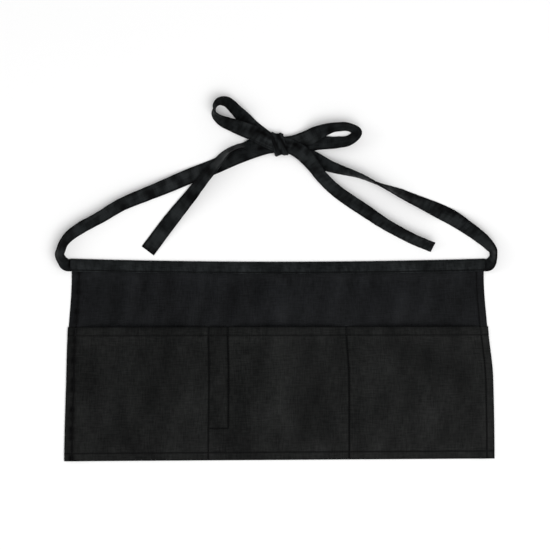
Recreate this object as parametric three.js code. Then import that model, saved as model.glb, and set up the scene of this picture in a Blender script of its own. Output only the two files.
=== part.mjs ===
// A short waist apron lying on its back: a hemmed panel, a sewn-on panel of four pockets, a folded
// waistband, and the band's two tapes tied in a bow above it.
// Millimetres. X runs along the waistband, Y from the hem up to the bow, Z up off the table.
import * as THREE from 'three';

// The panels
const panelWidth = 610;
const panelHeight = 284;
const clothThickness = 1;
const hemDepth = 12;
const hemRise = 0.5;
const hemEndDrop = 2;
const waistDip = 4.4;

// The pockets, from the left side seam to the right
const leftPocketWidth = 192;
const penPocketWidth = 28;
const middlePocketWidth = 172;
const pocketDepth = 188;
const penPocketDepth = 143;
const mouthHeight = 9;
const penMouthHeight = 7;

// The waistband and the ties, one folded tape
const bandDepth = 18;
const strapWidth = 21.5;
const strapThickness = 1.5;
const bowDistance = 170;
const knotLayers = 4;
const knotWidth = 14;
const knotBend = 0.8;

// The space left between pieces that touch
const clearance = 0.3;

// How finely the pieces are divided
const bodyColumns = 26;
const pocketColumns = 11;
const penPocketColumns = 6;
const pocketRows = 8;
const bandSteps = 24;
const bandCurve = 5;
const strapStations = 200;

// Side edges of the panels: rise is a share of panelHeight, left and right are shares of half the width
const sideEdges = [
  { rise: 0, left: -0.996, right: 0.995 },
  { rise: 0.4, left: -0.987, right: 0.989 },
  { rise: 0.59, left: -0.982, right: 0.971 },
  { rise: 0.67, left: -0.975, right: 0.961 },
  { rise: 0.92, left: -0.961, right: 0.945 },
  { rise: 1, left: -0.961, right: 0.945 },
];

// Soft folds: ends as shares of half the width and of panelHeight, width as a share of panelWidth, and
// lift as a share of the height that the pockets' mouths stand open
const pocketFolds = [
  { fromAcross: -0.78, fromUp: 0.13, toAcross: -0.58, toUp: 0.03, width: 0.03, lift: -0.25 },
  { fromAcross: -0.5, fromUp: 0.62, toAcross: -0.66, toUp: 0.3, width: 0.06, lift: -0.2 },
  { fromAcross: -0.2, fromUp: 0.11, toAcross: -0.13, toUp: 0.04, width: 0.025, lift: -0.25 },
  { fromAcross: 0, fromUp: 0.6, toAcross: 0.02, toUp: 0.2, width: 0.03, lift: 0.25 },
  { fromAcross: 0.13, fromUp: 0.6, toAcross: 0.15, toUp: 0.15, width: 0.035, lift: -0.3 },
  { fromAcross: 0.54, fromUp: 0.58, toAcross: 0.84, toUp: 0.42, width: 0.03, lift: -0.3 },
  { fromAcross: 0.7, fromUp: 0.24, toAcross: 0.66, toUp: 0.1, width: 0.03, lift: 0.2 },
];
const bodyFolds = [
  { fromAcross: -0.3, fromUp: 0.9, toAcross: -0.2, toUp: 0.72, width: 0.025, lift: 0.3 },
  { fromAcross: -0.08, fromUp: 0.9, toAcross: -0.02, toUp: 0.72, width: 0.025, lift: 0.35 },
  { fromAcross: 0.42, fromUp: 0.88, toAcross: 0.5, toUp: 0.74, width: 0.03, lift: 0.25 },
];

// Routes of the two straps: across is a share of half the panelWidth from the centre line, along a share
// of bowDistance from the waistband, lean the tilt of the strap's left edge above flat in degrees, and
// layer the height of its lowest edge in strap layers.
const leftRoute = [
  { across: -0.981, along: 0, lean: 22, layer: 0.4 },
  { across: -1.004, along: 0.037, lean: 56, layer: 0.1 },
  { across: -1.017, along: 0.088, lean: 62, layer: 0 },
  { across: -1.008, along: 0.139, lean: 64, layer: 0 },
  { across: -0.996, along: 0.187, lean: 62, layer: 0 },
  { across: -0.973, along: 0.236, lean: 55, layer: 0 },
  { across: -0.926, along: 0.299, lean: 48, layer: 0 },
  { across: -0.836, along: 0.388, lean: 44, layer: 0 },
  { across: -0.734, along: 0.496, lean: 38, layer: 0 },
  { across: -0.562, along: 0.625, lean: 26, layer: 0 },
  { across: -0.414, along: 0.738, lean: 8, layer: 0 },
  { across: -0.308, along: 0.813, lean: 0, layer: 0 },
  { across: -0.192, along: 0.903, lean: 0, layer: 0.15 },
  { across: -0.1, along: 0.962, lean: 0, layer: 1.5 },
  { across: -0.044, along: 0.988, lean: 0, layer: 2 },
  { across: 0.053, along: 0.999, lean: 0, layer: 2 },
];
const rightLoop = [
  { across: 0.113, along: 1.004, lean: 0, layer: 1.6 },
  { across: 0.183, along: 1.013, lean: -18, layer: 0.2 },
  { across: 0.266, along: 1.013, lean: -39, layer: 0 },
  { across: 0.327, along: 1.034, lean: -48, layer: 0 },
  { across: 0.358, along: 1.094, lean: -52, layer: 0 },
  { across: 0.332, along: 1.139, lean: -66, layer: 0 },
  { across: 0.262, along: 1.144, lean: -60, layer: 0.3 },
  { across: 0.19, along: 1.105, lean: -36, layer: 2.5 },
  { across: 0.118, along: 1.044, lean: -4, layer: 2.9 },
];
const leftTail = [
  { across: 0.053, along: 1.007, lean: 0, layer: 3 },
  { across: -0.044, along: 0.997, lean: 0, layer: 3 },
  { across: -0.102, along: 0.99, lean: 0, layer: 2.5 },
  { across: -0.138, along: 0.984, lean: 28, layer: 1.9 },
  { across: -0.178, along: 0.976, lean: 70, layer: 1.5 },
  { across: -0.231, along: 0.938, lean: 66, layer: 1.4 },
  { across: -0.278, along: 0.86, lean: 50, layer: 1.6 },
  { across: -0.338, along: 0.735, lean: 42, layer: 1.8 },
  { across: -0.412, along: 0.572, lean: 30, layer: 0.6 },
  { across: -0.509, along: 0.357, lean: 10, layer: 0 },
  { across: -0.61, along: 0.117, lean: 0, layer: 0 },
];
const rightRoute = [
  { across: 0.963, along: 0, lean: -22, layer: 0.4 },
  { across: 0.982, along: 0.037, lean: -60, layer: 0.1 },
  { across: 0.989, along: 0.082, lean: -71, layer: 0 },
  { across: 0.986, along: 0.122, lean: -66, layer: 0 },
  { across: 0.969, along: 0.162, lean: -56, layer: 0 },
  { across: 0.937, along: 0.218, lean: -45, layer: 0 },
  { across: 0.863, along: 0.315, lean: -32, layer: 0 },
  { across: 0.789, along: 0.403, lean: -8, layer: 0 },
  { across: 0.674, along: 0.5, lean: 30, layer: 0 },
  { across: 0.558, along: 0.59, lean: 53, layer: 0 },
  { across: 0.502, along: 0.63, lean: 69, layer: 0 },
  { across: 0.424, along: 0.693, lean: 90, layer: 0 },
  { across: 0.363, along: 0.735, lean: 102, layer: 0 },
  { across: 0.303, along: 0.772, lean: 116, layer: 0 },
  { across: 0.225, along: 0.82, lean: 136, layer: 0 },
  { across: 0.15, along: 0.888, lean: 173, layer: 0 },
  { across: 0.095, along: 0.949, lean: 180, layer: 0.3 },
  { across: 0.053, along: 0.985, lean: 180, layer: 1 },
];
const leftLoop = [
  { across: -0.022, along: 1.005, lean: 180, layer: 1 },
  { across: -0.052, along: 1.04, lean: 180, layer: 0.85 },
  { across: -0.086, along: 1.085, lean: 180, layer: 0.15 },
  { across: -0.13, along: 1.149, lean: 178, layer: 0 },
  { across: -0.195, along: 1.27, lean: 136, layer: 0 },
  { across: -0.243, along: 1.347, lean: 126, layer: 0 },
  { across: -0.278, along: 1.347, lean: 112, layer: 0 },
  { across: -0.298, along: 1.305, lean: 92, layer: 0 },
  { across: -0.298, along: 1.252, lean: 74, layer: 0.4 },
  { across: -0.269, along: 1.198, lean: 54, layer: 1 },
  { across: -0.194, along: 1.141, lean: 30, layer: 2.6 },
  { across: -0.113, along: 1.085, lean: 5, layer: 4.3 },
  { across: -0.022, along: 1.008, lean: 0, layer: 4 },
];
const rightTail = [
  { across: 0.053, along: 0.98, lean: 0, layer: 4 },
  { across: 0.109, along: 0.916, lean: 6, layer: 4.8 },
  { across: 0.149, along: 0.837, lean: 30, layer: 3.6 },
  { across: 0.19, along: 0.742, lean: 42, layer: 2 },
  { across: 0.26, along: 0.618, lean: 40, layer: 0 },
  { across: 0.373, along: 0.477, lean: 38, layer: 0 },
  { across: 0.484, along: 0.345, lean: 47, layer: 0 },
  { across: 0.604, along: 0.227, lean: 52, layer: 0 },
  { across: 0.709, along: 0.148, lean: 53, layer: 0 },
];

// Middle of the knot, as a share of half the panelWidth from the centre line
const knotAcross = 0.007;

// What follows from the sizes
const halfWidth = panelWidth / 2;
const strapPitch = strapThickness + clearance;
const bandHeight = 3 * clothThickness + 2 * clearance;
const bandLow = panelHeight - bandDepth;
const waistLine = panelHeight - bandDepth / 2;
const hemShare = hemDepth / halfWidth;

// Value of a column at a place along the rows' key, eased so that it never passes a row's own value
function eased(rows, key, column, at) {
  const last = rows.length - 1;
  const next = Math.min(Math.max(rows.findIndex((row) => row[key] > at), 1), last);
  const index = at >= rows[last][key] ? last - 1 : next - 1;
  const secant = (i) => {
    if (i < 0 || i >= last) {
      return 0;
    }
    return (rows[i + 1][column] - rows[i][column]) / (rows[i + 1][key] - rows[i][key]);
  };
  const slope = (i) => {
    const product = secant(i - 1) * secant(i);
    return product > 0 ? (2 * product) / (secant(i - 1) + secant(i)) : 0;
  };
  const span = rows[index + 1][key] - rows[index][key];
  const w = (at - rows[index][key]) / span;
  const blend = w * w * (3 - 2 * w);
  const value = rows[index][column] * (1 - blend) + rows[index + 1][column] * blend;
  return value + span * w * (1 - w) * (slope(index) * (1 - w) - slope(index + 1) * w);
}

// Evenly spaced values after from, up to and including to
function steps(from, to, count) {
  return Array.from({ length: count }, (_, i) => from + ((to - from) * (i + 1)) / count);
}

// Plan position on the panels: across from -1 at the left edge to 1 at the right, up in millimetres
function onPanel(across, up) {
  const rise = up / panelHeight;
  const left = halfWidth * eased(sideEdges, 'rise', 'left', rise);
  const right = halfWidth * eased(sideEdges, 'rise', 'right', rise);
  const above = Math.max(0, (up - pocketDepth) / (panelHeight - pocketDepth));
  const dip = waistDip * (1 - across * across) * above;
  const tilt = hemEndDrop * across * (1 - rise);
  return new THREE.Vector2((left + right + across * (right - left)) / 2, up + tilt - dip);
}

// Height that a list of soft folds adds at a point of the panel, as a share of the fullness
function foldLift(folds, across, up) {
  const point = new THREE.Vector3(across * halfWidth, up, 0);
  const nearest = new THREE.Vector3();
  return folds.reduce((sum, fold) => {
    const from = new THREE.Vector3(fold.fromAcross * halfWidth, fold.fromUp * panelHeight, 0);
    const to = new THREE.Vector3(fold.toAcross * halfWidth, fold.toUp * panelHeight, 0);
    new THREE.Line3(from, to).closestPointToPoint(point, true, nearest);
    const distance = point.distanceTo(nearest) / (fold.width * panelWidth);
    return sum + fold.lift * Math.exp(-distance * distance);
  }, 0);
}

// A closed sheet: a box's grid, laid line by line on the surface that the function face describes
function sheet(linesU, linesV, face) {
  const countU = linesU.length - 1;
  const countV = linesV.length - 1;
  const geometry = new THREE.BoxGeometry(1, 1, 1, countU, countV, 1);
  const position = geometry.attributes.position;
  for (let i = 0; i < position.count; i += 1) {
    const u = linesU[Math.round((position.getX(i) + 0.5) * countU)];
    const v = linesV[Math.round((position.getY(i) + 0.5) * countV)];
    const point = face(u, v, Math.sign(position.getZ(i)));
    position.setXYZ(i, point.x, point.y, point.z);
  }
  geometry.computeVertexNormals();
  return geometry;
}

function piece(name, geometry, colour) {
  const material = new THREE.MeshStandardMaterial({ color: colour, roughness: 0.95, metalness: 0 });
  const mesh = new THREE.Mesh(geometry, material);
  mesh.name = name;
  return mesh;
}

// 1 within a hem's depth of the given sides, easing to 0 over the turned edge's own thickness
function hemShape(distance) {
  return 1 - THREE.MathUtils.smoothstep(distance, hemDepth, hemDepth + clothThickness);
}

// The body: flat on the table, with hems at its sides and bottom, and its top edge inside the band
function bodyPanel() {
  const top = panelHeight - bandHeight / 2 - clearance;
  const plainHeight = bandLow - pocketDepth;
  const edge = 1 - hemShare;
  const inner = edge - clothThickness / halfWidth;
  const linesU = [-1, -edge, -inner, ...steps(-inner, inner, bodyColumns), edge, 1];
  const hemEnd = hemDepth + clothThickness;
  const linesV = [0, hemDepth, hemEnd, ...steps(hemEnd, pocketDepth, 3)];
  linesV.push(...steps(pocketDepth, bandLow, 7), top);
  const face = (across, up, side) => {
    const plan = onPanel(across, up);
    const sideDistance = (1 - Math.abs(across)) * halfWidth;
    const hem = Math.max(hemShape(sideDistance), hemShape(up));
    const between = THREE.MathUtils.clamp((up - pocketDepth) / plainHeight, 0, 1);
    const inward = THREE.MathUtils.smoothstep(sideDistance, hemDepth, 3 * hemDepth);
    const fold = Math.sin(Math.PI * between) * inward * mouthHeight * foldLift(bodyFolds, across, up);
    const intoBand = THREE.MathUtils.smoothstep(up, bandLow - hemDepth, bandLow - clothThickness);
    const under = fold + intoBand * (clothThickness + clearance);
    const hemHere = hem * (1 - intoBand);
    const thickness = clothThickness + hemRise * hemHere;
    return new THREE.Vector3(plan.x, plan.y, side > 0 ? under + thickness : under);
  };
  return piece('body_panel', sheet(linesU, linesV, face), 0x1d1f20);
}

// The pockets: seams as shares of the half width, and each pocket between two of them
const leftSeam = -1 + hemShare;
const penLeftSeam = leftSeam + leftPocketWidth / halfWidth;
const penRightSeam = penLeftSeam + penPocketWidth / halfWidth;
const dividerSeam = penRightSeam + middlePocketWidth / halfWidth;
const rightSeam = 1 - hemShare;
const penFloor = pocketDepth - penPocketDepth;
const plainPocket = { floor: hemDepth, height: mouthHeight, columns: pocketColumns };
const penPocket = { floor: penFloor, height: penMouthHeight, columns: penPocketColumns };
const pockets = [
  { from: leftSeam, to: penLeftSeam, ...plainPocket },
  { from: penLeftSeam, to: penRightSeam, ...penPocket },
  { from: penRightSeam, to: dividerSeam, ...plainPocket },
  { from: dividerSeam, to: rightSeam, ...plainPocket },
];

// Height of the pocket cloth above its seams: full in the middle, down to the body at every stitch line
function billow(across, up) {
  const pocket = pockets.find((one) => across > one.from && across < one.to);
  if (!pocket || up <= pocket.floor) {
    return 0;
  }
  const side = Math.abs((2 * (across - pocket.from)) / (pocket.to - pocket.from) - 1);
  const rise = (up - pocket.floor) / (pocketDepth - pocket.floor);
  const share = (1 - side ** 3) * (1 - (1 - rise) ** 3);
  return pocket.height * share * (1 + foldLift(pocketFolds, across, up));
}

// Lines across a pocket, closer together towards its two seams
function pocketLines(pocket) {
  const turns = steps(0, Math.PI, pocket.columns);
  return turns.map((turn) => pocket.from + ((pocket.to - pocket.from) * (1 - Math.cos(turn))) / 2);
}

function pocketPanel() {
  const linesU = [-1, leftSeam, ...pockets.flatMap(pocketLines), 1];
  const hemTop = pocketDepth - hemDepth;
  const linesV = [0, hemDepth, ...steps(hemDepth, penFloor, 3), ...steps(penFloor, hemTop, pocketRows)];
  linesV.push(hemTop + clothThickness, pocketDepth);
  const face = (across, up, side) => {
    const plan = onPanel(across, up);
    const atEdge = Math.max(hemShape((1 - Math.abs(across)) * halfWidth), hemShape(up));
    const seat = clothThickness + hemRise * atEdge + clearance;
    const under = seat + billow(across, up);
    const thickness = clothThickness + hemRise * hemShape(pocketDepth - up);
    return new THREE.Vector3(plan.x, plan.y, side > 0 ? under + thickness : under);
  };
  return piece('pocket_panel', sheet(linesU, linesV, face), 0x1f2122);
}

// The waistband: a tape folded over the body's top edge, open downwards, bent to the waist's dip
function waistband() {
  const outer = bandHeight / 2;
  const bendLine = panelHeight - outer;
  const section = new THREE.Shape();
  section.moveTo(bandLow, 0);
  section.lineTo(bendLine, 0);
  section.absarc(bendLine, outer, outer, -Math.PI / 2, Math.PI / 2, false);
  section.lineTo(bandLow, bandHeight);
  section.lineTo(bandLow, bandHeight - clothThickness);
  section.lineTo(bendLine, bandHeight - clothThickness);
  section.absarc(bendLine, outer, outer - clothThickness, Math.PI / 2, -Math.PI / 2, true);
  section.lineTo(bandLow, clothThickness);
  section.closePath();
  const options = { depth: 2, steps: bandSteps, curveSegments: bandCurve, bevelEnabled: false };
  const geometry = new THREE.ExtrudeGeometry(section, options);
  const position = geometry.attributes.position;
  for (let i = 0; i < position.count; i += 1) {
    const plan = onPanel(position.getZ(i) - 1, position.getX(i));
    position.setXYZ(i, plan.x, plan.y, position.getY(i));
  }
  geometry.computeVertexNormals();
  return piece('waistband', geometry, 0x1b1d1e);
}

// A strap swept along its rows. Where it leans, its lower edge stays at the row's layer.
function strap(name, rows) {
  const last = rows.length - 1;
  const run = rows.map((row, i) => ({ ...row, run: i / last }));
  const points = rows.map((row) => {
    return new THREE.Vector3(row.across * halfWidth, waistLine + row.along * bowDistance, 0);
  });
  const route = new THREE.CatmullRomCurve3(points, false, 'centripetal');
  route.arcLengthDivisions = 4 * strapStations;
  const frames = [0, ...steps(0, 1, strapStations)].map((share) => {
    const place = route.getUtoTmapping(share);
    const heading = route.getTangent(place);
    const lean = THREE.MathUtils.degToRad(eased(run, 'run', 'lean', place));
    const level = Math.cos(lean);
    const upright = Math.sin(lean);
    const across = new THREE.Vector3(-heading.y * level, heading.x * level, upright);
    const rise = (strapWidth * Math.abs(upright) + strapThickness * Math.abs(level)) / 2;
    const centre = route.getPoint(place).setZ(eased(run, 'run', 'layer', place) * strapPitch + rise);
    return { centre, across, normal: heading.clone().cross(across) };
  });
  const face = (station, share, side) => {
    const { centre, across, normal } = frames[station];
    const point = centre.clone().addScaledVector(across, share * strapWidth);
    return point.addScaledVector(normal, (side * strapThickness) / 2);
  };
  const stations = [0, ...steps(0, strapStations, strapStations)];
  return piece(name, sheet(stations, [-0.5, 0, 0.5], face), 0x232526);
}

// A strap's first row, at the middle of the band's end
function bandEnd(end) {
  const edge = onPanel(end, panelHeight).x + end * clearance;
  const layer = (bandHeight - strapThickness) / 2 / strapPitch;
  return { across: edge / halfWidth, along: 0, lean: 0, layer };
}

// The knot's binding turn: a ring round the layers of strap, as close as their sides let it
function bowKnot(straps) {
  const centre = knotAcross * halfWidth;
  const reach = knotWidth / 2 + 3 * strapThickness;
  const inside = { min: Infinity, max: -Infinity };
  straps.forEach(({ geometry }) => {
    const position = geometry.attributes.position;
    for (let i = 0; i < position.count; i += 1) {
      if (Math.abs(position.getX(i) - centre) < reach) {
        inside.min = Math.min(inside.min, position.getY(i));
        inside.max = Math.max(inside.max, position.getY(i));
      }
    }
  });
  const hole = new THREE.Box2();
  hole.min.set(inside.min - knotBend, strapThickness);
  hole.max.set(inside.max + knotBend, strapThickness + knotLayers * strapPitch + clearance);
  const outside = hole.clone().expandByScalar(strapThickness);
  const section = roundedOutline(new THREE.Shape(), outside, knotBend + strapThickness);
  section.holes.push(roundedOutline(new THREE.Path(), hole, knotBend));
  const options = { depth: knotWidth, curveSegments: bandCurve, bevelEnabled: false };
  const geometry = new THREE.ExtrudeGeometry(section, options);
  const turn = new THREE.Matrix4().makeBasis(
    new THREE.Vector3(0, 1, 0),
    new THREE.Vector3(0, 0, 1),
    new THREE.Vector3(1, 0, 0),
  );
  geometry.applyMatrix4(turn.setPosition(centre - knotWidth / 2, 0, 0));
  return piece('bow_knot', geometry, 0x242627);
}

// A rectangle with round corners, drawn anticlockwise on the given path
function roundedOutline(path, { min, max }, radius) {
  const quarter = Math.PI / 2;
  path.absarc(max.x - radius, max.y - radius, radius, 0, quarter, false);
  path.absarc(min.x + radius, max.y - radius, radius, quarter, 2 * quarter, false);
  path.absarc(min.x + radius, min.y + radius, radius, 2 * quarter, 3 * quarter, false);
  path.absarc(max.x - radius, min.y + radius, radius, 3 * quarter, 4 * quarter, false);
  return path;
}

const leftTie = strap('left_tie', [bandEnd(-1), ...leftRoute, ...rightLoop, ...leftTail]);
const rightTie = strap('right_tie', [bandEnd(1), ...rightRoute, ...leftLoop, ...rightTail]);

const apron = new THREE.Group();
apron.add(bodyPanel(), pocketPanel(), waistband(), leftTie, rightTie, bowKnot([leftTie, rightTie]));

// The origin is the middle of the whole apron's foot
const box = new THREE.Box3().setFromObject(apron);
const middle = box.getCenter(new THREE.Vector3());
apron.position.set(-middle.x, -middle.y, -box.min.z);

export default apron;
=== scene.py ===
import math

import bpy
import numpy as np
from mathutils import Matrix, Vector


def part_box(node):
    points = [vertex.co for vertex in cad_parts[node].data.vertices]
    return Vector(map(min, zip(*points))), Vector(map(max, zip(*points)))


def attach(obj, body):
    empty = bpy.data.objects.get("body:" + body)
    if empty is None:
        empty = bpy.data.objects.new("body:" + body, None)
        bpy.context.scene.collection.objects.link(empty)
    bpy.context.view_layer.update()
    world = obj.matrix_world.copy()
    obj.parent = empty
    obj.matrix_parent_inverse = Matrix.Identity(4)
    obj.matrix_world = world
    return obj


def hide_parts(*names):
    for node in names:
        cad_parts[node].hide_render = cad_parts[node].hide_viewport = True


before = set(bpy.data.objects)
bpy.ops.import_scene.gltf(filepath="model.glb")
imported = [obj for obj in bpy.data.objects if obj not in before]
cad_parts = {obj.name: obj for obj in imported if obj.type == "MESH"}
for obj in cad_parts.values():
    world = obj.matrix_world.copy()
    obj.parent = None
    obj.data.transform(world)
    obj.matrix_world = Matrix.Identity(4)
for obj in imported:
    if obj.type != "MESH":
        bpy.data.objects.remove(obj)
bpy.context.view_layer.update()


# Body panel: the apron's plain back cloth, one piece of black polyester and cotton twill. Its sides and
# bottom are turned under and stitched, and its top edge goes into the waistband. It lies on its back.
mm = 0.001
half_width = 305 * mm
panel_height = 284 * mm
pocket_depth = 188 * mm
band_depth = 18 * mm
cloth_thickness = 0.9 * mm
hem_depth = 12 * mm
hem_stitch = hem_depth - 1 * mm
hem_rise = 0.5 * mm
hem_shade = 1.15
hem_drop = 2 * mm
waist_dip = 4.4 * mm
seam_width = 1 * mm
seam_dent = 0.35 * mm
band_low = panel_height - band_depth
body_lift = 9 * mm
gather_lift = 1.1 * mm
edge_lift = 1.1 * mm
pull_lift = 0.4 * mm
rise_into_band = 1.3 * mm
side_rise = [0, 0.4, 0.59, 0.67, 0.92, 1]
left_side = [-0.996, -0.987, -0.982, -0.975, -0.961, -0.961]
right_side = [0.995, 0.989, 0.971, 0.961, 0.945, 0.945]
# from across, from up, to across, to up, width, lift
body_folds = [
    (-0.3, 0.9, -0.2, 0.72, 0.025, 0.3),
    (-0.08, 0.9, -0.02, 0.72, 0.025, 0.35),
    (0.42, 0.88, 0.5, 0.74, 0.03, 0.25),
]
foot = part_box("body_panel")[0]
origin = np.array([foot.x - left_side[0] * half_width, foot.y + hem_drop])


def smooth(value, low, high):
    """0 below low, 1 above high, and three squares less two cubes of the share between."""
    share = np.clip((value - low) / (high - low), 0, 1)
    return share * share * (3 - 2 * share)


def eased(key, values, at):
    """Cubic from row to row. The slope at a row is the harmonic mean of the slopes beside it, 0 at a turn."""
    key, values = np.asarray(key, float), np.asarray(values, float)
    secant = np.diff(values) / np.diff(key)
    product = secant[:-1] * secant[1:]
    total = np.where(product > 0, secant[:-1] + secant[1:], 1)
    slope = np.concatenate([[0], np.where(product > 0, 2 * product / total, 0), [0]])
    row = np.clip(np.searchsorted(key, at, side="right") - 1, 0, len(key) - 2)
    span = key[row + 1] - key[row]
    w = (at - key[row]) / span
    blend = w * w * (3 - 2 * w)
    bend = slope[row] * (1 - w) - slope[row + 1] * w
    return values[row] * (1 - blend) + values[row + 1] * blend + span * w * (1 - w) * bend


def on_panel(across, up):
    """Plan place: across runs from the left edge to the right one, and the waist dips by a parabola."""
    rise = up / panel_height
    left = half_width * eased(side_rise, left_side, rise)
    right = half_width * eased(side_rise, right_side, rise)
    above = np.maximum(0, (up - pocket_depth) / (panel_height - pocket_depth))
    x = (left + right + across * (right - left)) / 2
    y = up + hem_drop * across * (1 - rise) - waist_dip * (1 - across**2) * above
    return x + origin[0], y + origin[1]


def fold_lift(folds, across, up):
    """Sum over the folds of lift times a bell curve of the distance to the fold's line."""
    total = np.zeros(np.broadcast(across, up).shape)
    for from_across, from_up, to_across, to_up, width, lift in folds:
        start = np.array([from_across * half_width, from_up * panel_height])
        run = np.array([to_across * half_width, to_up * panel_height]) - start
        x, y = across * half_width - start[0], up - start[1]
        share = np.clip((x * run[0] + y * run[1]) / (run @ run), 0, 1)
        distance = np.hypot(x - share * run[0], y - share * run[1])
        total = total + lift * np.exp(-((distance / (2 * width * half_width)) ** 2))
    return total


def puckers(along, away, pitch, reach, seed):
    """From 0 to 1: three sines of the way along a seam, slanting a little, that die away at reach."""
    chance = np.random.default_rng(seed)
    total = 0
    for scale in (1, 0.63, 1.71):
        phase, lean = chance.uniform(0, 6.28), chance.uniform(-0.9, 0.9)
        total = total + np.sin(6.283 * (along + lean * away) / (pitch * scale) + phase)
    swell = 0.6 + 0.4 * np.sin(6.283 * along / (pitch * 6.3) + phase)
    return (0.5 + total / 6) * swell * np.exp(-((away / reach) ** 2))


def drift(x, y, size, seed):
    """Slow uneven swell from -1 to 1: four sines in seeded directions, with wavelengths round size."""
    chance = np.random.default_rng(seed)
    total = 0
    for scale in (1, 0.7, 1.5, 0.45):
        turn, phase = chance.uniform(0, 6.28, 2)
        total = total + np.sin(6.283 * (x * np.cos(turn) + y * np.sin(turn)) / (size * scale) + phase)
    return total / 4


def groove(distance, width):
    """1 on a stitch line, falling off by a bell curve on both sides."""
    return np.exp(-((distance / width) ** 2))


def edge_shade(distance):
    """Painted shade at a folded edge: 0.5 on the edge, falling off exponentially in 1.2 mm."""
    return 0.5 * np.exp(-distance / (1.2 * mm))


def unit(vectors):
    """Each vector over its own length."""
    return vectors / np.linalg.norm(vectors, axis=-1)[..., None]


def lines(stops, spacing, fine=()):
    """Grid lines from the first stop to the last, at most spacing apart, and closer round each fine place."""
    close = np.array([-2.4, -1.2, -0.7, -0.35, 0, 0.35, 0.7, 1.2, 2.4]) * mm
    places = np.concatenate([np.asarray(stops, float)] + [place + close for place in fine])
    places = np.unique(np.round(places, 6))
    places = places[(places >= stops[0]) & (places <= stops[-1])]
    parts = [
        np.linspace(a, b, max(1, math.ceil((b - a) / spacing - 0.01)), endpoint=False)
        for a, b in zip(places[:-1], places[1:])
    ]
    return np.concatenate(parts + [places[-1:]])


def rim(distance, thickness):
    """Share of the full thickness near a cut or folded edge: a quarter circle, not quite down to nothing."""
    inward = 1 - np.clip(distance / (thickness / 2), 0, 1)
    return 0.3 + 0.7 * np.sqrt(1 - inward**2)


def cloth_object(name, points, faces, weave, mark=None):
    """Mesh object with a weave map in metres. The mark is a number a vertex of painted shade: 1 on a stitch
    line, above 0 in a hollow and below 0, for a painted highlight, on a ridge. Its first attribute is the
    mark, and its second, the painted highlight, is less the mark where that is above 0."""
    mesh = bpy.data.meshes.new(name)
    mesh.from_pydata(points.tolist(), [], faces.tolist())
    corner = np.empty(len(mesh.loops), np.int32)
    mesh.loops.foreach_get("vertex_index", corner)
    mesh.uv_layers.new(name="weave").data.foreach_set("uv", weave[corner].ravel())
    if mark is not None:
        # The mark is painted shade; less the mark, where above 0, is a painted highlight.
        mesh.attributes.new("seam_and_painted_shade", "FLOAT", "POINT").data.foreach_set("value", mark.ravel())
        painted_highlight = np.maximum(-mark, 0)
        mesh.attributes.new("painted_highlight", "FLOAT", "POINT").data.foreach_set("value", painted_highlight.ravel())
    mesh.polygons.foreach_set("use_smooth", np.ones(len(faces), bool))
    made = bpy.data.objects.new(name, mesh)
    bpy.context.scene.collection.objects.link(made)
    return made


def closed_sheet(name, upper, lower, weave, mark):
    """Two grids of points as quads, the lower one turned over, and a strip of quads round their rim. Both
    faces have the same weave map and the same mark."""
    count = upper.shape[0] * upper.shape[1]
    index = np.arange(count).reshape(upper.shape[:2])
    near, far = index[:-1, :-1], index[1:, 1:]
    top = np.stack([near, index[1:, :-1], far, index[:-1, 1:]], -1).reshape(-1, 4)
    ring = np.concatenate([index[:, 0], index[-1, 1:], index[-2::-1, -1], index[0, -2::-1]])
    side = np.stack([ring[:-1] + count, ring[1:] + count, ring[1:], ring[:-1]], -1)
    points = np.concatenate([upper.reshape(-1, 3), lower.reshape(-1, 3)])
    faces = np.concatenate([top, top[:, ::-1] + count, side])
    return cloth_object(name, points, faces, np.tile(weave.reshape(-1, 2), (2, 1)), np.tile(mark.ravel(), 2))


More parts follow.
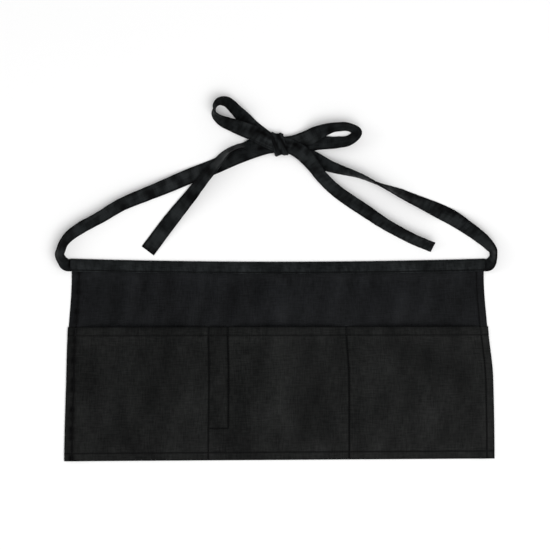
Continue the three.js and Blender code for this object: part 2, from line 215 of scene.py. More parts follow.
def woven(name, deep, pale, rib, slant, gloss):
    """Twill with a slight sheen: slanting ribs on the weave map, cut into yarns, over slow patches of
    shade and small wrinkles. The mesh's painted shade darkens stitch lines and hollows, and its painted
    highlight pales ridges."""
    material = bpy.data.materials.new(name)
    material.use_nodes = True
    tree = material.node_tree
    tree.nodes.clear()

    def node(kind, settings=None, **sockets):
        """One shader node. A socket goes by its name, or by its number after an underscore."""
        made = tree.nodes.new("ShaderNode" + kind)
        for key, value in (settings or {}).items():
            setattr(made, key, value)
        for key, value in sockets.items():
            socket = made.inputs[int(key[1:])] if key[0] == "_" else made.inputs[key.replace("_", " ")]
            if isinstance(value, bpy.types.Node):
                value = value.outputs[2 if value.bl_idname == "ShaderNodeMix" else 0]
            if isinstance(value, bpy.types.NodeSocket):
                tree.links.new(value, socket)
            else:
                socket.default_value = value
        return made

    def sums(a, b, operation="ADD"):
        return node("Math", {"operation": operation}, _0=a, _1=b)

    def weighted(*terms):
        """Sum of the sources, each times its weight."""
        total = None
        for source, weight in terms:
            part = sums(source, weight, "MULTIPLY")
            total = part if total is None else sums(total, part)
        return total

    def mixed(factor, a, b):
        return node("Mix", {"data_type": "RGBA"}, _0=factor, _6=a, _7=b)

    weave = node("UVMap", {"uv_map": "weave"})
    place = node("TexCoord").outputs["Object"]
    turned = node("Mapping", Vector=weave, Rotation=(0, 0, slant))
    ribs = node("TexWave", Vector=turned, Scale=0.314 / rib, Distortion=0.7, Detail=1.5, Detail_Scale=1.2)
    crossing = {"bands_direction": "Y"}
    yarns = node("TexWave", crossing, Vector=turned, Scale=0.2 / rib, Distortion=1.2, Detail=1.0)
    fibre = node("TexNoise", Vector=weave, Scale=2600, Detail=3, Roughness=0.65)
    patches = node("TexNoise", Vector=place, Scale=9, Detail=5, Roughness=0.6)
    tall = node("Mapping", Vector=place, Scale=(1, 0.4, 1), Rotation=(0, 0, 0.25))
    wrinkles = node("TexNoise", Vector=tall, Scale=48, Detail=1.5, Roughness=0.5, Distortion=0.3)
    slubs = node("Mapping", Vector=weave, Scale=(1, 0.06, 1))
    streaks = node("TexNoise", Vector=slubs, Scale=900, Detail=2)
    relief = weighted((ribs.outputs[1], 0.6), (yarns.outputs[1], 0.25), (fibre, 0.35))
    warp = node("TexNoise", Vector=node("Mapping", Vector=weave, Scale=(1, 0.14, 1)), Scale=520, Detail=1)
    weft = node("TexNoise", Vector=node("Mapping", Vector=weave, Scale=(0.14, 1, 1)), Scale=520, Detail=1)
    grain = weighted((warp, 0.5), (weft, 0.5))
    shade = weighted((relief, 0.4), (patches, 1.1), (grain, 1.8), (streaks, 0.35), (wrinkles, 0.5))
    # Painted shade: the first attribute darkens stitch lines, hollows, the left hem and edges towards near
    # black; the second is a painted highlight that pales ridges.
    seam_and_painted_shade = node("Attribute", {"attribute_name": "seam_and_painted_shade"}).outputs["Fac"]
    painted_highlight = node("Attribute", {"attribute_name": "painted_highlight"}).outputs["Fac"]
    colour = mixed(sums(shade, 1.7, "SUBTRACT"), deep, pale)
    colour = mixed(sums(painted_highlight, fibre, "MULTIPLY"), colour, tuple(2 * c for c in pale[:3]) + (1,))
    colour = mixed(sums(seam_and_painted_shade, 0.96, "MULTIPLY"), colour, (0.0005, 0.0005, 0.0006, 1))
    rough = sums(weighted((fibre, 0.15), (seam_and_painted_shade, 0.3)), 0.47)
    folds = node("Bump", Strength=1.0, Distance=0.0016, Height=wrinkles)
    grained = node("Bump", Strength=1.0, Distance=0.0005, Height=grain, Normal=folds)
    bump = node("Bump", Strength=0.5, Distance=0.00012, Height=relief, Normal=grained)
    surface = node(
        "BsdfPrincipled",
        Base_Color=colour,
        Roughness=rough,
        Specular_IOR_Level=gloss,
        Sheen_Weight=0.03,
        Sheen_Roughness=0.5,
        Sheen_Tint=(0.6, 0.62, 0.66, 1),
        Normal=bump,
    )
    node("OutputMaterial", Surface=surface)
    return material


cloth_rib = 0.75 * mm
cloth_slant = 1.05
cloth_gloss = 0.058
body_deep, body_pale = (0.0011, 0.0014, 0.0017, 1), (0.0088, 0.0095, 0.0109, 1)
twill_cloth = woven("twill_cloth", body_deep, body_pale, cloth_rib, cloth_slant, cloth_gloss)

thread = bpy.data.materials.new("black_thread")
thread.use_nodes = True
thread_tree = thread.node_tree
thread_surface = thread_tree.nodes["Principled BSDF"]
thread_noise = thread_tree.nodes.new("ShaderNodeTexNoise")
thread_noise.inputs["Scale"].default_value = 3000
thread_place = thread_tree.nodes.new("ShaderNodeTexCoord")
thread_tree.links.new(thread_place.outputs["Object"], thread_noise.inputs["Vector"])
thread_ramp = thread_tree.nodes.new("ShaderNodeValToRGB")
thread_ramp.color_ramp.elements[0].color = (0.0015, 0.0015, 0.0018, 1)
thread_ramp.color_ramp.elements[1].color = (0.0085, 0.0088, 0.0094, 1)
thread_tree.links.new(thread_noise.outputs[0], thread_ramp.inputs[0])
thread_tree.links.new(thread_ramp.outputs[0], thread_surface.inputs["Base Color"])
thread_surface.inputs["Roughness"].default_value = 0.6
thread_surface.inputs["Specular IOR Level"].default_value = 0.12


def finish_piece(made, material, slot, *nodes):
    """The piece takes its material, rides on the one body and stands for the CAD nodes named."""
    made.data.materials.append(material)
    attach(made, "root")
    if nodes:
        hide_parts(*nodes)


def edge_curl(side):
    """The side hems slope down to their edges, and the cloth inside them eases down again."""
    return edge_lift * smooth(side, 0, hem_depth) * (1 - smooth(side, hem_depth, 4 * hem_depth))


def left_hem_shade(across, up):
    """Painted shade along the left side hem: 1 along its stitches, in dashes, and 0 at 9 mm from them."""
    dashes = 0.6 + 0.4 * np.sin(up / (3.1 * mm)) * np.sin(up / (7.3 * mm) + 1)
    return np.exp(-((((1 + across) * half_width - hem_depth + 2 * mm) / (5 * mm)) ** 2)) * dashes


def body_sheet(across, up):
    """Plan place, underside, thickness and painted shade mark of the body: flat, with soft folds and a slow
    swell that follow a half sine of the way from pocket to band, gathered at the band and raised into it."""
    x, y = on_panel(across, up)
    side = (1 - np.abs(across)) * half_width
    between = np.clip((up - pocket_depth) / (band_low - pocket_depth), 0, 1)
    inward = smooth(side, hem_depth, 3 * hem_depth)
    fold = np.sin(np.pi * between) * inward * body_lift * fold_lift(body_folds, across, up)
    into_band = smooth(up, band_low - hem_depth, band_low - cloth_thickness)
    bare = smooth(up, pocket_depth + 6 * mm, band_low)
    gathers = puckers(x, band_low - up, 17 * mm, 30 * mm, 3) * bare
    uneven = drift(x, 0.45 * y, 60 * mm, 5)
    swell = (1 + uneven) * np.sin(np.pi * between) * inward
    under = fold + into_band * rise_into_band + gather_lift * (gathers * (1 - into_band) + swell)
    seam_and_painted_shade = groove(side - hem_stitch, seam_width)
    pull = puckers(up, side - hem_depth, 9 * mm, 7 * mm, 11) * smooth(up, 0, 10 * mm)
    hem = 1 - smooth(np.minimum(side, up), hem_depth, hem_depth + cloth_thickness)
    thickness = cloth_thickness + hem_rise * hem * (1 - into_band) - seam_dent * seam_and_painted_shade
    under = under + edge_curl(side) * (1 - into_band) + pull_lift * pull
    # Painted highlight on the swell and the gathers' crests, painted shade in their hollows, along the left
    # hem and on the side hems' stitch lines.
    shade = -0.3 * uneven * inward + hem_shade * left_hem_shade(across, up)
    shade = shade - 0.7 * (gathers - 0.25 * bare) * (1 - into_band)
    return x, y, under, thickness, shade + seam_and_painted_shade * (1 - shade)


def laid_sheet(name, shape, across_lines, up_lines, shift=(0, 0)):
    """A closed sheet on a grid of lines, thinned to a round rim and darkened at its edges by painted shade.
    Its weave map is the flat place from the middle of the hem, plus shift."""
    across, up = np.meshgrid(across_lines / half_width - 1, up_lines, indexing="ij")
    edge = np.minimum((1 - np.abs(across)) * half_width, np.minimum(up, up_lines[-1] - up))
    x, y, under, thickness, mark = shape(across, up)
    lost = thickness * (1 - rim(edge, cloth_thickness)) / 2
    upper = np.stack([x, y, under + thickness - lost], -1)
    lower = np.stack([x, y, under + lost], -1)
    weave = np.stack([across * half_width + shift[0], up + shift[1]], -1)
    return closed_sheet(name, upper, lower, weave, mark + edge_shade(edge))


body_top = panel_height - 2.1 * mm
panel_width = 2 * half_width
body_across = lines([0, panel_width], 2.6 * mm, [0, hem_stitch, panel_width - hem_stitch, panel_width])
body_up = np.concatenate([
    lines([0, hem_depth + 2 * mm], 3 * mm, [0])[:-1],
    lines([hem_depth + 2 * mm, pocket_depth - 12 * mm], 7 * mm)[:-1],
    lines([pocket_depth - 12 * mm, band_low - 2 * mm], 1.7 * mm)[:-1],
    lines([band_low - 2 * mm, body_top], 3 * mm),
])
body_cloth = laid_sheet("body_cloth", body_sheet, body_across, body_up)
finish_piece(body_cloth, twill_cloth, "twill_cloth", "body_panel")


stitch_pitch = 3 * mm
hem_line = 1 - hem_stitch / half_width
tag_left, tag_right = -0.112, 0.003


def stitch_run(shape, start, end, pitch=stitch_pitch):
    """Places, directions and normals of the stitches on a straight run between two (across, up) points."""
    start, end = np.array(start, float), np.array(end, float)
    length = np.hypot((end - start)[0] * half_width, (end - start)[1])
    count = max(2, round(length / pitch))
    share = (np.arange(count) + 0.5) / count
    track = start + share[:, None] * (end - start)
    step = (end - start) / length * 0.4 * mm
    square = np.array([-step[1] / half_width, step[0] * half_width])

    def top(points):
        x, y, under, thickness, _ = shape(points[:, 0], points[:, 1])
        return np.stack([x, y, under + thickness], -1)

    run, side = top(track + step) - top(track - step), top(track + square) - top(track - square)
    normal = np.cross(run, side)
    normal *= np.sign(normal[:, 2:])
    return top(track), unit(run), unit(normal)


def stitches(name, runs, length=2.5 * mm, radius=0.21 * mm):
    """Spindles of thread: a hexagon whose radius follows the root of 1 less the square of the place along
    the stitch, arched so that both ends dip into the cloth."""
    centre, along, normal = (np.concatenate([run[i] for run in runs]) for i in range(3))
    side = np.cross(normal, along)
    place = np.array([-0.96, -0.6, 0, 0.6, 0.96])
    turn = np.arange(6) * np.pi / 3
    girth = radius * np.sqrt(1 - (place * 0.98) ** 2)
    arch = radius * (0.55 - 1.1 * place**2)
    ring = (
        place[:, None, None] * length / 2 * along[:, None, None, :]
        + (arch[:, None] + girth[:, None] * np.sin(turn))[..., None] * normal[:, None, None, :]
        + (girth[:, None] * np.cos(turn))[..., None] * side[:, None, None, :]
    )
    tips = np.stack([-along * length / 2, along * length / 2], 1) - 0.6 * radius * normal[:, None, :]
    points = np.concatenate([ring.reshape(len(centre), -1, 3), tips], 1) + centre[:, None, :]
    index = np.arange(30).reshape(5, 6)
    after = np.roll(index, -1, 1)
    quads = np.stack([index[:-1], index[1:], after[1:], after[:-1]], -1).reshape(-1, 4)
    halves = np.concatenate([quads[:, [0, 1, 2]], quads[:, [0, 2, 3]]])
    first = np.stack([np.full(6, 30), index[0], after[0]], -1)
    last = np.stack([np.full(6, 31), after[-1], index[-1]], -1)
    faces = np.concatenate([halves, first, last])
    faces = (faces[None] + 32 * np.arange(len(centre))[:, None, None]).reshape(-1, 3)
    points = points.reshape(-1, 3)
    made = cloth_object(name, points, faces, points[:, :2])
    finish_piece(made, thread, "twill_cloth")
    return made


body_thread = stitches("body_stitches", [
    stitch_run(body_sheet, (-hem_line, pocket_depth + 1 * mm), (-hem_line, band_low)),
    stitch_run(body_sheet, (hem_line, pocket_depth + 1 * mm), (hem_line, band_low)),
    stitch_run(body_sheet, (tag_left, band_low - 4 * mm), (tag_right, band_low - 4 * mm)),
    stitch_run(body_sheet, (tag_right, band_low - 2 * mm), (tag_right, band_low - 19 * mm)),
])


# Pocket panel: one more piece of the same twill, laid over the lower two thirds and sewn down at its
# sides, its bottom, the divider and the pen pocket. Its upper edge is hemmed and makes the open mouths.
left_seam = -1 + hem_depth / half_width
pen_left = left_seam + 192 * mm / half_width
pen_right = pen_left + 28 * mm / half_width
divider = pen_right + 172 * mm / half_width
right_seam = 1 - hem_depth / half_width
pen_floor = pocket_depth - 143 * mm
# from, to, floor, height of the mouth
pockets = [
    (left_seam, pen_left, hem_depth, 9 * mm),
    (pen_left, pen_right, pen_floor, 5 * mm),
    (pen_right, divider, hem_depth, 9 * mm),
    (divider, right_seam, hem_depth, 9 * mm),
]
# from across, from up, to across, to up, width, lift
pocket_folds = [
    (-0.78, 0.13, -0.58, 0.03, 0.03, -0.25),
    (-0.5, 0.62, -0.66, 0.3, 0.06, -0.2),
    (-0.2, 0.11, -0.13, 0.04, 0.025, -0.25),
    (0, 0.6, 0.02, 0.2, 0.03, 0.25),
    (0.13, 0.6, 0.15, 0.15, 0.035, -0.3),
    (0.54, 0.58, 0.84, 0.42, 0.03, -0.3),
    (0.7, 0.24, 0.66, 0.1, 0.03, 0.2),
]
mouth_line = pocket_depth - hem_depth
pucker_lift = 0.5 * mm
swell_lift = 0.8 * mm
corner_out = 0.9 * mm
cloth_gap = 0.12 * mm


def pocket_sheet(across, up):
    """Plan place, underside, thickness and painted shade mark of the pocket cloth: down on the body at every
    stitch line, and between two raised by 1 less the cube of the way out and 1 less the cube of the way down."""
    x, y = on_panel(across, up)
    side = (1 - np.abs(across)) * half_width
    hem = 1 - smooth(np.minimum(side, up), hem_depth, hem_depth + cloth_thickness)
    seat = cloth_thickness + hem_rise * hem + edge_curl(side) + cloth_gap
    billow = np.zeros(np.shape(x))
    for start, end, floor, height in pockets:
        out = np.clip(np.abs(2 * (across - start) / (end - start) - 1), 0, 1)
        down = 1 - np.clip((up - floor) / (pocket_depth - floor), 0, 1)
        billow = billow + height * (1 - out**3) * (1 - down**3)
    folded = fold_lift(pocket_folds, across, up)
    # how tight a seam is sewn, and the distance to it
    seams = [
        (1.2, (np.abs(across) - hem_line) * half_width),
        (1.6, np.where(up < pen_floor, 1, (across - pen_right) * half_width)),
        (1.2, (across - pen_left) * half_width),
        (1.6, (across - divider) * half_width),
        (0.85, up - hem_stitch),
        (0.7, up - mouth_line),
        (1.3, np.where((across > pen_left) & (across < pen_right), up - pen_floor, 1)),
    ]
    seam_and_painted_shade = np.max([np.minimum(1, tight * groove(away, seam_width)) for tight, away in seams], axis=0)
    upright = np.min([np.abs(away) for tight, away in seams[:4]], axis=0)
    puckered = puckers(x, up - mouth_line, 13 * mm, 9 * mm, 21)
    puckered = puckered + puckers(x, up - hem_depth, 11 * mm, 9 * mm, 22) * smooth(up, 0, 4 * mm)
    puckered = puckered + puckers(up, upright, 8 * mm, 7 * mm, 23)
    uneven = drift(x, 0.4 * y, 52 * mm, 24)
    free = smooth(side, 0, 20 * mm) * smooth(up, 0, 20 * mm)
    swell = (1 + uneven) * free * smooth(upright, 0, 25 * mm)
    under = seat + billow * (1 + folded) + pucker_lift * puckered + swell_lift * swell
    mouth_hem = smooth(up, mouth_line - cloth_thickness, mouth_line)
    thickness = cloth_thickness + hem_rise * mouth_hem - seam_dent * seam_and_painted_shade
    corner = (1 - smooth(side, 0, 8 * mm)) * smooth(up, pocket_depth - 18 * mm, pocket_depth)
    x = x + np.sign(across) * corner_out * corner
    in_pen = smooth((across - pen_left) * half_width, 0, 3 * mm)
    in_pen = in_pen * smooth((pen_right - across) * half_width, 0, 3 * mm)
    in_pen = in_pen * smooth(up, pen_floor, pen_floor + 4 * mm)
    # Painted highlight on the swell, the folds' ridges and the puckers' crests, painted shade in their
    # hollows, along the left hem and on the stitch lines; the mouth's hem and the pen pocket are a little
    # darker.
    shade = -0.2 * uneven * free + hem_shade * left_hem_shade(across, up) - 0.9 * folded
    shade = shade - 0.35 * (puckered - 0.6) + 0.12 * mouth_hem + 0.08 * in_pen
    return x, y, under, thickness, shade + seam_and_painted_shade * (1 - shade)


pocket_stops = [(line + 1) * half_width for line in (-hem_line, pen_left, pen_right, divider, hem_line)]
pocket_across = lines([0, panel_width], 2.5 * mm, [0, *pocket_stops, panel_width])
pocket_up = lines([0, pocket_depth], 2.6 * mm, [0, hem_stitch, pen_floor, mouth_line, pocket_depth])
pocket_cloth = laid_sheet("pocket_cloth", pocket_sheet, pocket_across, pocket_up, shift=(0.3, 0.1))
pocket_deep, pocket_pale = (0.0022, 0.0025, 0.0024, 1), (0.0165, 0.0171, 0.0165, 1)
pocket_twill = woven("pocket_twill", pocket_deep, pocket_pale, cloth_rib, cloth_slant, cloth_gloss)
finish_piece(pocket_cloth, pocket_twill, "twill_cloth", "pocket_panel")


def tack(across, up, height=11 * mm):
    """A bar tack: a column of close stitches square to a seam, downwards from the pocket's mouth."""
    place, along, normal = stitch_run(pocket_sheet, (across, up - height), (across, up), 0.42 * mm)
    return place, np.cross(normal, along), normal


top_stitch = pocket_depth - 1 * mm
low_stitch = 2 * mm
# across and up of the first stitch, across and up of the last
pocket_runs = [
    (-hem_line, low_stitch, -hem_line, top_stitch),
    (hem_line, low_stitch, hem_line, top_stitch),
    (pen_left, low_stitch, pen_left, top_stitch),
    (pen_right, pen_floor, pen_right, top_stitch),
    (divider, low_stitch, divider, top_stitch),
    (pen_left, pen_floor, pen_right, pen_floor),
    (-hem_line, hem_stitch, hem_line, hem_stitch),
    (-hem_line, mouth_line, hem_line, mouth_line),
]
pocket_thread = stitches(
    "pocket_stitches", [stitch_run(pocket_sheet, ends[:2], ends[2:]) for ends in pocket_runs]
)
pocket_tacks = stitches(
    "pocket_tacks",
    [tack(line, top_stitch) for line in (-hem_line, pen_left, pen_right, divider, hem_line)],
    length=2.2 * mm,
    radius=0.2 * mm,
)


# Waistband: a twill tape folded over the body's top edge and stitched through near its lower edges.
# It runs on past both ends as the ties.
band_height = 3.6 * mm
band_wall = 0.9 * mm
band_over = 2 * mm
band_ripple = 0.8 * mm
band_line = band_low + 2.2 * mm
bend_radius = (band_height - band_wall) / 2
bend_line = panel_height - band_height / 2
tape_deep, tape_pale = (0.0012, 0.0019, 0.0021, 1), (0.0135, 0.0153, 0.016, 1)
twill_tape = woven("twill_tape", tape_deep, tape_pale, rib=0.6 * mm, slant=0.9, gloss=0.045)


def band_sheet(across, way):
    """Middle of the tape's wall, its outward direction and its painted shade mark. way runs in metres from
    the front lower edge over a half circle at the top to the back lower edge. The front ripples aslant."""
    flat = bend_line - band_low
    turn = np.clip((way - flat) / bend_radius, 0, np.pi)
    back = np.maximum(0, way - flat - np.pi * bend_radius)
    up = band_low + np.minimum(way, flat) + bend_radius * np.sin(turn) - back
    x, y = on_panel(across, up)
    end = smooth((1 - np.abs(across)) * half_width, 0, 9 * mm)
    closed = 0.85 + 0.15 * end
    z = band_height / 2 + bend_radius * np.cos(turn) * closed
    front = turn < 1.5
    seam_and_painted_shade = groove(up - band_line, 0.8 * mm)
    twist = puckers(x + 0.6 * up, up - band_line, 12 * mm, 14 * mm, 31) + 0.4 * drift(x, y, 30 * mm, 32)
    outward = np.stack([np.zeros_like(turn), np.sin(turn), np.cos(turn)], -1)
    lift = np.where(front, band_ripple * (twist - 0.3), 0) - 0.2 * mm * seam_and_painted_shade
    middle = np.stack([x, y, z], -1) + lift[..., None] * outward
    # Painted highlight on the front's ripples and painted shade in their hollows, with the stitch line
    # painted dark.
    shade = 0.9 * (0.2 - twist) * front
    return middle, outward, shade + seam_and_painted_shade * (1 - shade)


band_way = 2 * (bend_line - band_low) + np.pi * bend_radius
stitch_way = band_line - band_low
band_ends = [-band_over, panel_width + band_over]
across_lines = lines(band_ends, 1.7 * mm, band_ends)
way_lines = lines([0, band_way], 1.3 * mm, [0, stitch_way, band_way - stitch_way, band_way])
across, way = np.meshgrid(across_lines / half_width - 1, way_lines, indexing="ij")
middle, outward, mark = band_sheet(across, way)
edge = np.minimum((1 - np.abs(across)) * half_width + band_over, np.minimum(way, band_way - way))
half = (band_wall / 2 * rim(edge, band_wall))[..., None] * outward
weave = np.stack([way, across * half_width], -1)
band_tape = closed_sheet("band_tape", middle + half, middle - half, weave, mark)
finish_piece(band_tape, twill_tape, "twill_tape", "waistband")


def band_run(way):
    """Stitches along the whole band at one place of its way round."""
    count = round(0.95 * panel_width / stitch_pitch)
    across = (np.arange(count) + 0.5) / count * 2 - 1
    ways = np.full(count, way)
    middle, outward, _ = band_sheet(across, ways)
    ahead = band_sheet(across + 0.002, ways)[0] - band_sheet(across - 0.002, ways)[0]
    return middle + outward * band_wall / 2, unit(ahead), outward


band_thread = stitches("band_stitches", [band_run(stitch_way), band_run(band_way - stitch_way)])


# Ties: the band's twill tape, folded to 21.5 mm and edge-stitched. Each runs up to the bow, through the
# knot, round one loop and back, and ends as a cut and hemmed tail. Where it turns it stands on its edge.
bow_distance = 170 * mm
waist_line = panel_height - band_depth / 2
strap_width = 21.5 * mm
strap_thickness = 1.3 * mm
strap_pitch = 1.8 * mm
strap_inset = 2 * mm
strap_stations = 620
pinch = 4.2 * mm
cup_depth = 2.4 * mm
wave_lift = 0.5 * mm
above_floor = 0.02 * mm
knot_across = 6 * mm
pleats_across = 2 * mm
# across, as a share of half the panel's width; along, of the bow's distance; lean in degrees; layer
left_rows = [
    (-0.981, 0, 22, 0.4), (-1.004, 0.037, 56, 0.1), (-1.017, 0.088, 62, 0), (-1.008, 0.139, 64, 0),
    (-0.996, 0.187, 62, 0), (-0.973, 0.236, 55, 0), (-0.926, 0.299, 48, 0), (-0.836, 0.388, 44, 0),
    (-0.734, 0.496, 38, 0), (-0.562, 0.625, 26, 0), (-0.414, 0.738, 8, 0), (-0.308, 0.813, 0, 0),
    (-0.192, 0.903, 0, 0.15), (-0.1, 0.962, 0, 1.5), (-0.044, 0.988, 0, 2), (0.053, 0.999, 0, 2),
    (0.113, 1.004, 0, 1.6), (0.183, 1.013, -18, 0.2), (0.266, 1.013, -39, 0), (0.327, 1.034, -48, 0),
    (0.358, 1.094, -52, 0), (0.332, 1.139, -66, 0), (0.262, 1.144, -60, 0.3), (0.19, 1.105, -36, 2.5),
    (0.118, 1.044, -4, 2.9),
    (0.053, 1.007, 0, 3), (-0.044, 0.997, 0, 3), (-0.102, 0.99, 0, 2.5), (-0.138, 0.984, 28, 1.9),
    (-0.178, 0.976, 70, 1.5), (-0.231, 0.938, 66, 1.4), (-0.278, 0.86, 50, 1.6), (-0.338, 0.735, 42, 1.8),
    (-0.412, 0.572, 30, 0.6), (-0.509, 0.357, 10, 0), (-0.61, 0.117, 0, 0),
]
right_rows = [
    (0.963, 0, -22, 0.4), (0.982, 0.037, -60, 0.1), (0.989, 0.082, -71, 0), (0.986, 0.122, -66, 0),
    (0.969, 0.162, -56, 0), (0.937, 0.218, -45, 0), (0.863, 0.315, -32, 0), (0.789, 0.403, -8, 0),
    (0.674, 0.5, 30, 0), (0.558, 0.59, 53, 0), (0.502, 0.63, 69, 0), (0.424, 0.693, 90, 0),
    (0.363, 0.735, 102, 0), (0.303, 0.772, 116, 0), (0.225, 0.82, 136, 0), (0.15, 0.888, 173, 0),
    (0.095, 0.949, 180, 0.3), (0.053, 0.985, 180, 1),
    (-0.022, 1.005, 180, 1), (-0.052, 1.04, 180, 0.85), (-0.086, 1.085, 180, 0.15), (-0.13, 1.149, 178, 0),
    (-0.195, 1.27, 136, 0), (-0.243, 1.347, 126, 0), (-0.278, 1.347, 112, 0), (-0.298, 1.305, 92, 0),
    (-0.298, 1.252, 74, 0.4), (-0.269, 1.198, 54, 1), (-0.194, 1.141, 30, 2.6), (-0.113, 1.085, 5, 4.3),
    (-0.022, 1.008, 0, 4),
    (0.053, 0.98, 0, 4), (0.109, 0.916, 6, 4.8), (0.149, 0.837, 30, 3.6), (0.19, 0.742, 42, 2),
    (0.26, 0.618, 40, 0), (0.373, 0.477, 38, 0), (0.484, 0.345, 47, 0), (0.604, 0.227, 52, 0),
    (0.709, 0.148, 53, 0),
]


def strap_course(rows, stations):
    """Centre, width direction and normal at even steps along a smooth curve through the rows: a cubic
    through each four points, whose speed follows the root of their distance."""
    rows = np.array(rows, float)
    plan = np.stack([rows[:, 0] * half_width, waist_line + rows[:, 1] * bow_distance], -1)
    padded = np.concatenate([[2 * plan[0] - plan[1]], plan, [2 * plan[-1] - plan[-2]]])
    gap = np.sqrt(np.linalg.norm(np.diff(padded, axis=0), axis=1))
    fine = np.linspace(0, len(plan) - 1, 40 * len(plan))
    row = np.minimum(fine.astype(int), len(plan) - 2)
    w = (fine - row)[:, None]
    p = [padded[row + i] for i in range(4)]
    d = [gap[row + i][:, None] for i in range(3)]
    leave = ((p[1] - p[0]) / d[0] - (p[2] - p[0]) / (d[0] + d[1]) + (p[2] - p[1]) / d[1]) * d[1]
    arrive = ((p[2] - p[1]) / d[1] - (p[3] - p[1]) / (d[1] + d[2]) + (p[3] - p[2]) / d[2]) * d[1]
    curve = p[1] + leave * w + (3 * (p[2] - p[1]) - 2 * leave - arrive) * w**2
    curve = curve + (2 * (p[1] - p[2]) + leave + arrive) * w**3
    length = np.concatenate([[0], np.cumsum(np.linalg.norm(np.diff(curve, axis=0), axis=1))])
    run = np.linspace(0, length[-1], stations)
    x, y = (np.interp(run, length, curve[:, i]) for i in range(2))
    heading = unit(np.stack([np.gradient(x), np.gradient(y)], -1))
    key = np.arange(len(rows)) / (len(rows) - 1)
    at = np.interp(run, length, fine) / (len(plan) - 1)
    lean = np.radians(eased(key, rows[:, 2], at))
    level, upright = np.cos(lean), np.sin(lean)
    wide = np.stack([-heading[:, 1] * level, heading[:, 0] * level, upright], -1)
    rise = (strap_width * np.abs(upright) + (strap_thickness + 0.2 * mm) * np.abs(level)) / 2
    z = eased(key, rows[:, 3], at) * strap_pitch + rise
    centre = np.stack([x + origin[0], y + origin[1], z], -1)
    ahead = np.concatenate([heading, np.zeros((stations, 1))], -1)
    return run, centre, wide, np.cross(ahead, wide)


def strap_mark(share, way, edge, slow, fine, from_knot):
    """The tape's painted shade without its stitch line: a painted highlight where a wave rises and painted
    shade where it sinks, a painted shadow up to 0.95 where it leaves the band, painted pleats up to 0.75 near
    the knot, which the shape doesn't have, and the edges' shade."""
    shade = np.clip(-1.15 * slow - 0.6 * fine, -0.6, 0.85) + 0.95 * groove(way, 12 * mm)
    pleat_shade = groove(from_knot, 26 * mm) * (0.25 - 0.5 * np.cos(share * 15 + slow))
    return shade + pleat_shade + edge_shade(edge)


def tie(side, end, rows, seed):
    """One tie. It waves softly, but not in the knot, and narrows to the band's depth at its start. Where it
    stands on its edge it is cupped by a parabola and opened. Its edge stitches show on both faces."""
    band_end = (on_panel(np.array(float(end)), np.array(panel_height))[0] - origin[0]) / half_width
    # the first row is just off the band's end, in its place, lean and height
    start_row = (band_end + end * 0.001, 0, 0, 0.58)
    run, centre, wide, normal = strap_course([start_row] + rows, strap_stations)
    half_strap = strap_width / 2
    stitch_line = strap_inset - half_strap
    width_lines = lines([-half_strap, half_strap], 1.5 * mm, [-half_strap, stitch_line, half_strap])
    share, way = np.meshgrid(width_lines / strap_width, run)
    edge = np.minimum((0.5 - np.abs(share)) * strap_width, np.minimum(way, run[-1] - way))
    seam_and_painted_shade = groove(share * strap_width - stitch_line, 0.6 * mm)
    slow = drift(way, share * strap_width, 46 * mm, seed)
    fine = drift(way, 0.5 * share * strap_width, 13 * mm, seed + 1)
    calm = smooth(np.abs(centre[:, :1] - knot_across), 18 * mm, 34 * mm)
    cup = cup_depth * wide[:, 2:] ** 4 * (4 * share**2 - 0.35)
    lift = wave_lift * (slow + 0.6 * fine) * calm + cup
    width = strap_width - pinch * (1 - smooth(run, 0, 16 * mm))
    middle = centre[:, None] + (share * width[:, None])[..., None] * wide[:, None]
    middle = middle + lift[..., None] * normal[:, None]
    opened = strap_thickness / 2 * (1 + 0.6 * np.abs(wide[:, 2:])) - 0.12 * mm * seam_and_painted_shade
    half = (opened * rim(edge, strap_thickness))[..., None] * normal[:, None]
    upper, lower = middle + half, middle - half
    for points in (upper, lower):
        points[..., 2] = np.maximum(points[..., 2], above_floor)
    # Painted shade and highlight of the tape, with its stitch line painted dark.
    shade = strap_mark(share, way, edge, slow, fine, centre[:, :1] - pleats_across)
    weave = np.stack([share * strap_width, way], -1)
    grids = [grid.swapaxes(0, 1) for grid in (upper, lower, weave, shade + seam_and_painted_shade * (1 - shade))]
    made = closed_sheet(side + "_tape", *grids)
    finish_piece(made, twill_tape, "twill_tape", side)
    count = round(run[-1] / stitch_pitch)
    at = (np.arange(count) + 0.5) / count * (len(run) - 1)

    def pick(values):
        return np.stack([np.interp(at, np.arange(len(run)), values[:, i]) for i in range(3)], -1)

    column = np.argmin(np.abs(width_lines - stitch_line))
    along = unit(pick(np.gradient(centre, axis=0)))
    front = (pick(upper[:, column]), along, pick(normal))
    back = (pick(lower[:, column]), along, -pick(normal))
    sewn = stitches(side + "_stitches", [front, back])


tie("left_tie", -1, left_rows, 41)
tie("right_tie", 1, right_rows, 51)


# Bow knot: the turn of tape that binds the bow's waist, pulled tight, so that it is creased along itself.
# It goes once round the four layers of strap, aslant, and is wider on its left side.
knot_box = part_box("bow_knot")
knot_middle = (knot_box[0] + knot_box[1]) / 2
knot_half = (knot_box[1] - knot_box[0]) / 2
knot_wall = 1.3 * mm
knot_out = 2.8 * mm
knot_slant = 3.8 * mm
knot_flare = 1.6 * mm
# turn goes round the straps, trip round the section of the tape
turn = np.linspace(0, 2 * np.pi, 160, endpoint=False)[:, None]
trip = np.linspace(0, 2 * np.pi, 72, endpoint=False)[None, :]


def rounded(angle, power):
    """Cosine and sine raised to a power with their signs kept: a circle pressed towards a rectangle."""
    c, s = np.cos(angle), np.sin(angle)
    return np.sign(c) * np.abs(c) ** power, np.sign(s) * np.abs(s) ** power


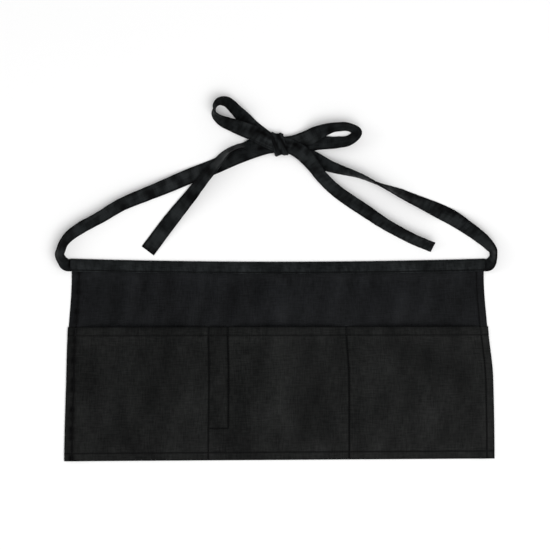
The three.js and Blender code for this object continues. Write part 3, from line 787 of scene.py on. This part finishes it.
out_y, out_z = rounded(turn, 0.45)
width_x, wall = rounded(trip, 0.4)
crease = 0.6 * mm * np.cos(width_x * 5 + 3 * out_y) + 0.35 * mm * np.cos(width_x * 11 + 5 * out_y + 1)
depth = (wall - 1) * knot_wall / 2 + np.where(wall > 0, crease - 0.3 * mm, 0)
narrow = 1 - 0.12 * np.cos(turn * 2 + 0.6) ** 2
flare = knot_flare * smooth(-width_x, -0.2, 1)
x = knot_middle.x - knot_out + (knot_half.x + knot_out) * width_x * narrow - knot_slant * out_y
y = knot_middle.y + (knot_half.y + depth + flare) * out_y
z = knot_middle.z + (knot_half.z + depth) * out_z
points = np.stack([x, y, np.maximum(z, above_floor)], -1)
index = np.arange(turn.size * trip.size).reshape(turn.size, trip.size)
following = np.roll(index, -1, 0)
faces = np.stack([index, following, np.roll(following, -1, 1), np.roll(index, -1, 1)], -1).reshape(-1, 4)
weave = np.stack(np.broadcast_arrays(width_x * strap_width / 2, turn * 12 * mm), -1).reshape(-1, 2)
# Painted shade in the creases' hollows and a painted highlight on their crests.
crease_shade = np.clip(0.35 - crease / (0.8 * mm), -0.35, 0.95)
knot_tape = cloth_object("knot_tape", points.reshape(-1, 3), faces, weave, crease_shade)
finish_piece(knot_tape, twill_tape, "twill_tape", "bow_knot")


# Studio: a pale floor just under the cloth, a large soft light above, a fainter one from the side, and
# the camera straight above the apron.
floor_reach = 6
floor_height = -0.3 * mm
floor_corners = [(-1, -1), (1, -1), (1, 1), (-1, 1)]
floor_points = [(floor_reach * x, floor_reach * y, floor_height) for x, y in floor_corners]
floor = bpy.data.objects.new("floor", bpy.data.meshes.new("floor"))
floor.data.from_pydata(floor_points, [], [(0, 1, 2, 3)])
bpy.context.scene.collection.objects.link(floor)
floor_paint = bpy.data.materials.new("floor_paint")
floor_paint.use_nodes = True
floor_surface = floor_paint.node_tree.nodes["Principled BSDF"]
floor_surface.inputs["Base Color"].default_value = (0.9, 0.9, 0.9, 1)
floor_surface.inputs["Roughness"].default_value = 0.9
floor.data.materials.append(floor_paint)

world = bpy.data.worlds.new("studio")
bpy.context.scene.world = world
world.use_nodes = True
sky = world.node_tree.nodes["Background"]
sky.inputs["Color"].default_value = (1, 1, 1, 1)
sky.inputs["Strength"].default_value = 0.55


def soft_light(name, place, size, power):
    """A square area light at place that faces the middle of the apron."""
    lamp = bpy.data.lights.new(name, "AREA")
    lamp.size, lamp.energy = size, power
    made = bpy.data.objects.new(name, lamp)
    bpy.context.scene.collection.objects.link(made)
    made.location = place
    made.rotation_mode = "QUATERNION"
    made.rotation_quaternion = made.location.to_track_quat("Z", "Y")


soft_light("overhead", (0.7, -0.8, 2.5), 2.3, 54)
soft_light("side", (-2.2, 0.4, 1.2), 1.2, 10)

camera_height = 2.4
view_width = 776.6 * mm
view_middle = (-6.35 * mm, 260.9 * mm)
camera_data = bpy.data.cameras.new("camera")
camera = bpy.data.objects.new("camera", camera_data)
bpy.context.scene.collection.objects.link(camera)
camera.location = (origin[0] + view_middle[0], origin[1] + view_middle[1], camera_height)
camera_data.sensor_width = 36
camera_data.lens = 36 * camera_height / view_width
bpy.context.scene.camera = camera
bpy.context.scene.view_settings.view_transform = "Standard"
